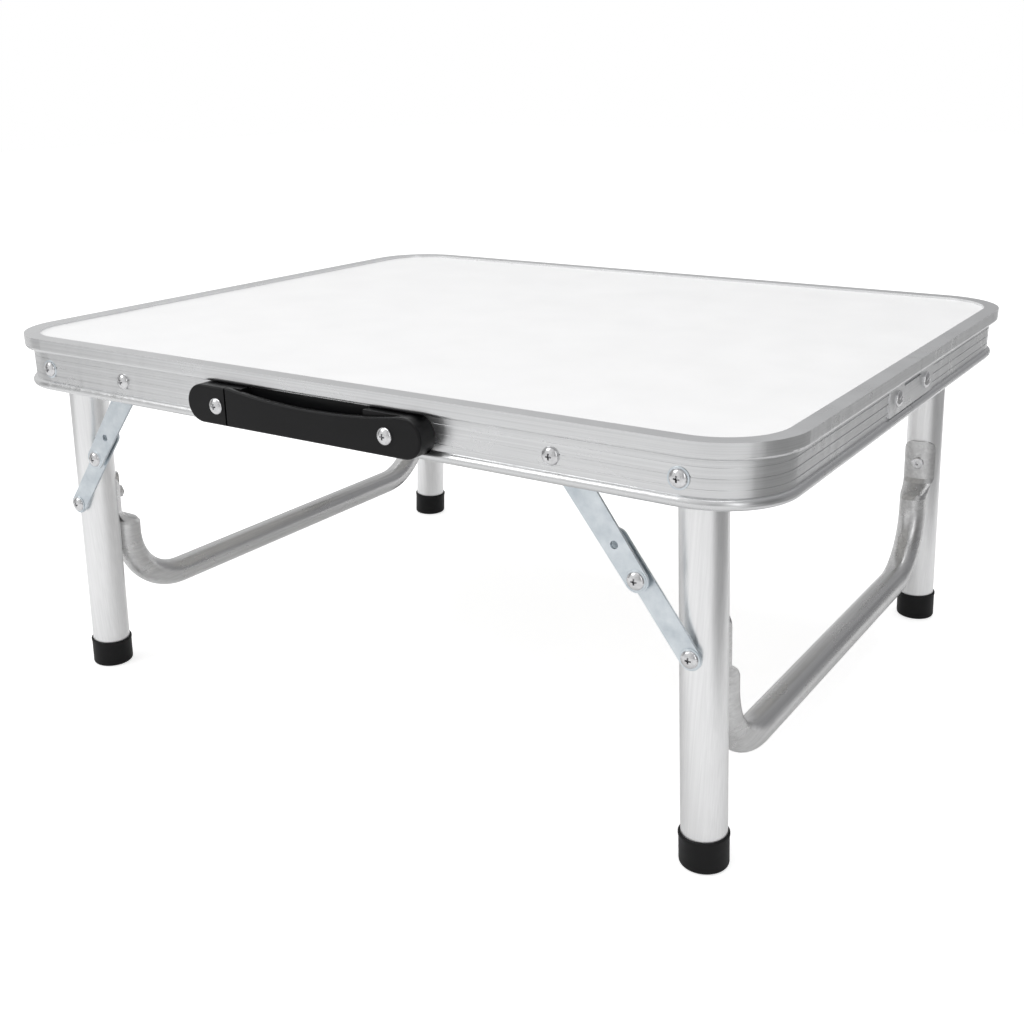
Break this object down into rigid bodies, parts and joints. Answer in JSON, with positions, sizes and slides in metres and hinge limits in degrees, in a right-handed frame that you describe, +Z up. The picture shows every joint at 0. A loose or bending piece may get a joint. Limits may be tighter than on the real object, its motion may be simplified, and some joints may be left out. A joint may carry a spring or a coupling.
{
  "type": "folding table",
  "caption": "Low rectangular folding table with a white laminate top in an aluminium edge frame, inward-folding tubular leg sets with two-link braces, rubber feet and a black carrying handle",
  "frame": {"origin": "on the floor, under the middle of the box of the open table with its handle", "axes": "+X to the right along the long side, +Y from the handle's side to the back, +Z up"},
  "size_m": [0.54, 0.4606, 0.24],
  "materials": {
    "frame_aluminium": "satin extruded and clear anodised",
    "white_laminate": "smooth white laminate on hardboard",
    "leg_aluminium": "satin drawn tube",
    "crossbar_steel": "bright plated tube",
    "black_rubber": "matt moulded",
    "black_plastic": "satin moulded",
    "nylon": "natural nylon",
    "zinc_plate": "bright zinc plated pressing",
    "splice_aluminium": "satin pressing",
    "chromed_steel": "bright plated"
  },
  "bodies": {
    "tabletop": {"edge_frame": "frame_aluminium", "board": "white_laminate", "splice_plate": "splice_aluminium", "splice_backing": "zinc_plate", "splice_screws": "chromed_steel", "splice_nuts": "chromed_steel", "handle_base": "black_plastic", "handle_grip": "black_plastic", "handle_screws": "chromed_steel", "handle_nuts": "chromed_steel", "leg_pivot_screws": "chromed_steel", "leg_pivot_bushes": "nylon", "leg_pivot_nuts": "chromed_steel", "brace_frame_screws": "chromed_steel", "brace_frame_spacers": "zinc_plate", "brace_frame_nuts": "chromed_steel"},
    "leg_set_right": {"right_front_leg": "leg_aluminium", "right_back_leg": "leg_aluminium", "right_front_foot": "black_rubber", "right_back_foot": "black_rubber", "right_leg_plugs": "black_plastic", "right_crossbar": "crossbar_steel", "right_back_rivet": "chromed_steel", "right_leg_bolt": "chromed_steel", "right_leg_bolt_nut": "chromed_steel", "right_leg_spacer": "zinc_plate"},
    "brace_upper_right": {"right_upper_link": "zinc_plate", "right_knee_pin": "chromed_steel"},
    "brace_lower_right": {"right_lower_link": "zinc_plate", "right_knee_tail": "zinc_plate"},
    "leg_set_left": {"left_front_leg": "leg_aluminium", "left_back_leg": "leg_aluminium", "left_front_foot": "black_rubber", "left_back_foot": "black_rubber", "left_leg_plugs": "black_plastic", "left_crossbar": "crossbar_steel", "left_back_rivet": "chromed_steel", "left_leg_bolt": "chromed_steel", "left_leg_bolt_nut": "chromed_steel", "left_leg_spacer": "zinc_plate"},
    "brace_upper_left": {"left_upper_link": "zinc_plate", "left_knee_pin": "chromed_steel"},
    "brace_lower_left": {"left_lower_link": "zinc_plate", "left_knee_tail": "zinc_plate"}
  },
  "joints": [
    {"name": "fold_right", "type": "hinge", "parent": "tabletop", "child": "leg_set_right", "pos_m": [0.223, 0.0053, 0.22], "axis": [0, 1, 0], "range_deg": [0, 92.5]},
    {"name": "brace_upper_right_hinge", "type": "hinge", "parent": "tabletop", "child": "brace_upper_right", "pos_m": [0.154, -0.20715, 0.22], "axis": [0, 1, 0], "range_deg": [0, 127.35]},
    {"name": "brace_lower_right_hinge", "type": "hinge", "parent": "leg_set_right", "child": "brace_lower_right", "pos_m": [0.22719, -0.20255, 0.12409], "axis": [0, 1, 0], "range_deg": [-145.15, 0]},
    {"name": "fold_left", "type": "hinge", "parent": "tabletop", "child": "leg_set_left", "pos_m": [-0.223, 0.0053, 0.22], "axis": [0, -1, 0], "range_deg": [0, 92.5]},
    {"name": "brace_upper_left_hinge", "type": "hinge", "parent": "tabletop", "child": "brace_upper_left", "pos_m": [-0.154, -0.20715, 0.22], "axis": [0, -1, 0], "range_deg": [0, 127.35]},
    {"name": "brace_lower_left_hinge", "type": "hinge", "parent": "leg_set_left", "child": "brace_lower_left", "pos_m": [-0.22719, -0.20255, 0.12409], "axis": [0, -1, 0], "range_deg": [-145.15, 0]}
  ],
  "couplings": [
    {"joint": "brace_upper_right_hinge", "follows": "fold_right", "ratio": 1.3767},
    {"joint": "brace_lower_right_hinge", "follows": "fold_right", "ratio": -1.5692},
    {"joint": "brace_upper_left_hinge", "follows": "fold_left", "ratio": 1.3767},
    {"joint": "brace_lower_left_hinge", "follows": "fold_left", "ratio": -1.5692}
  ]
}
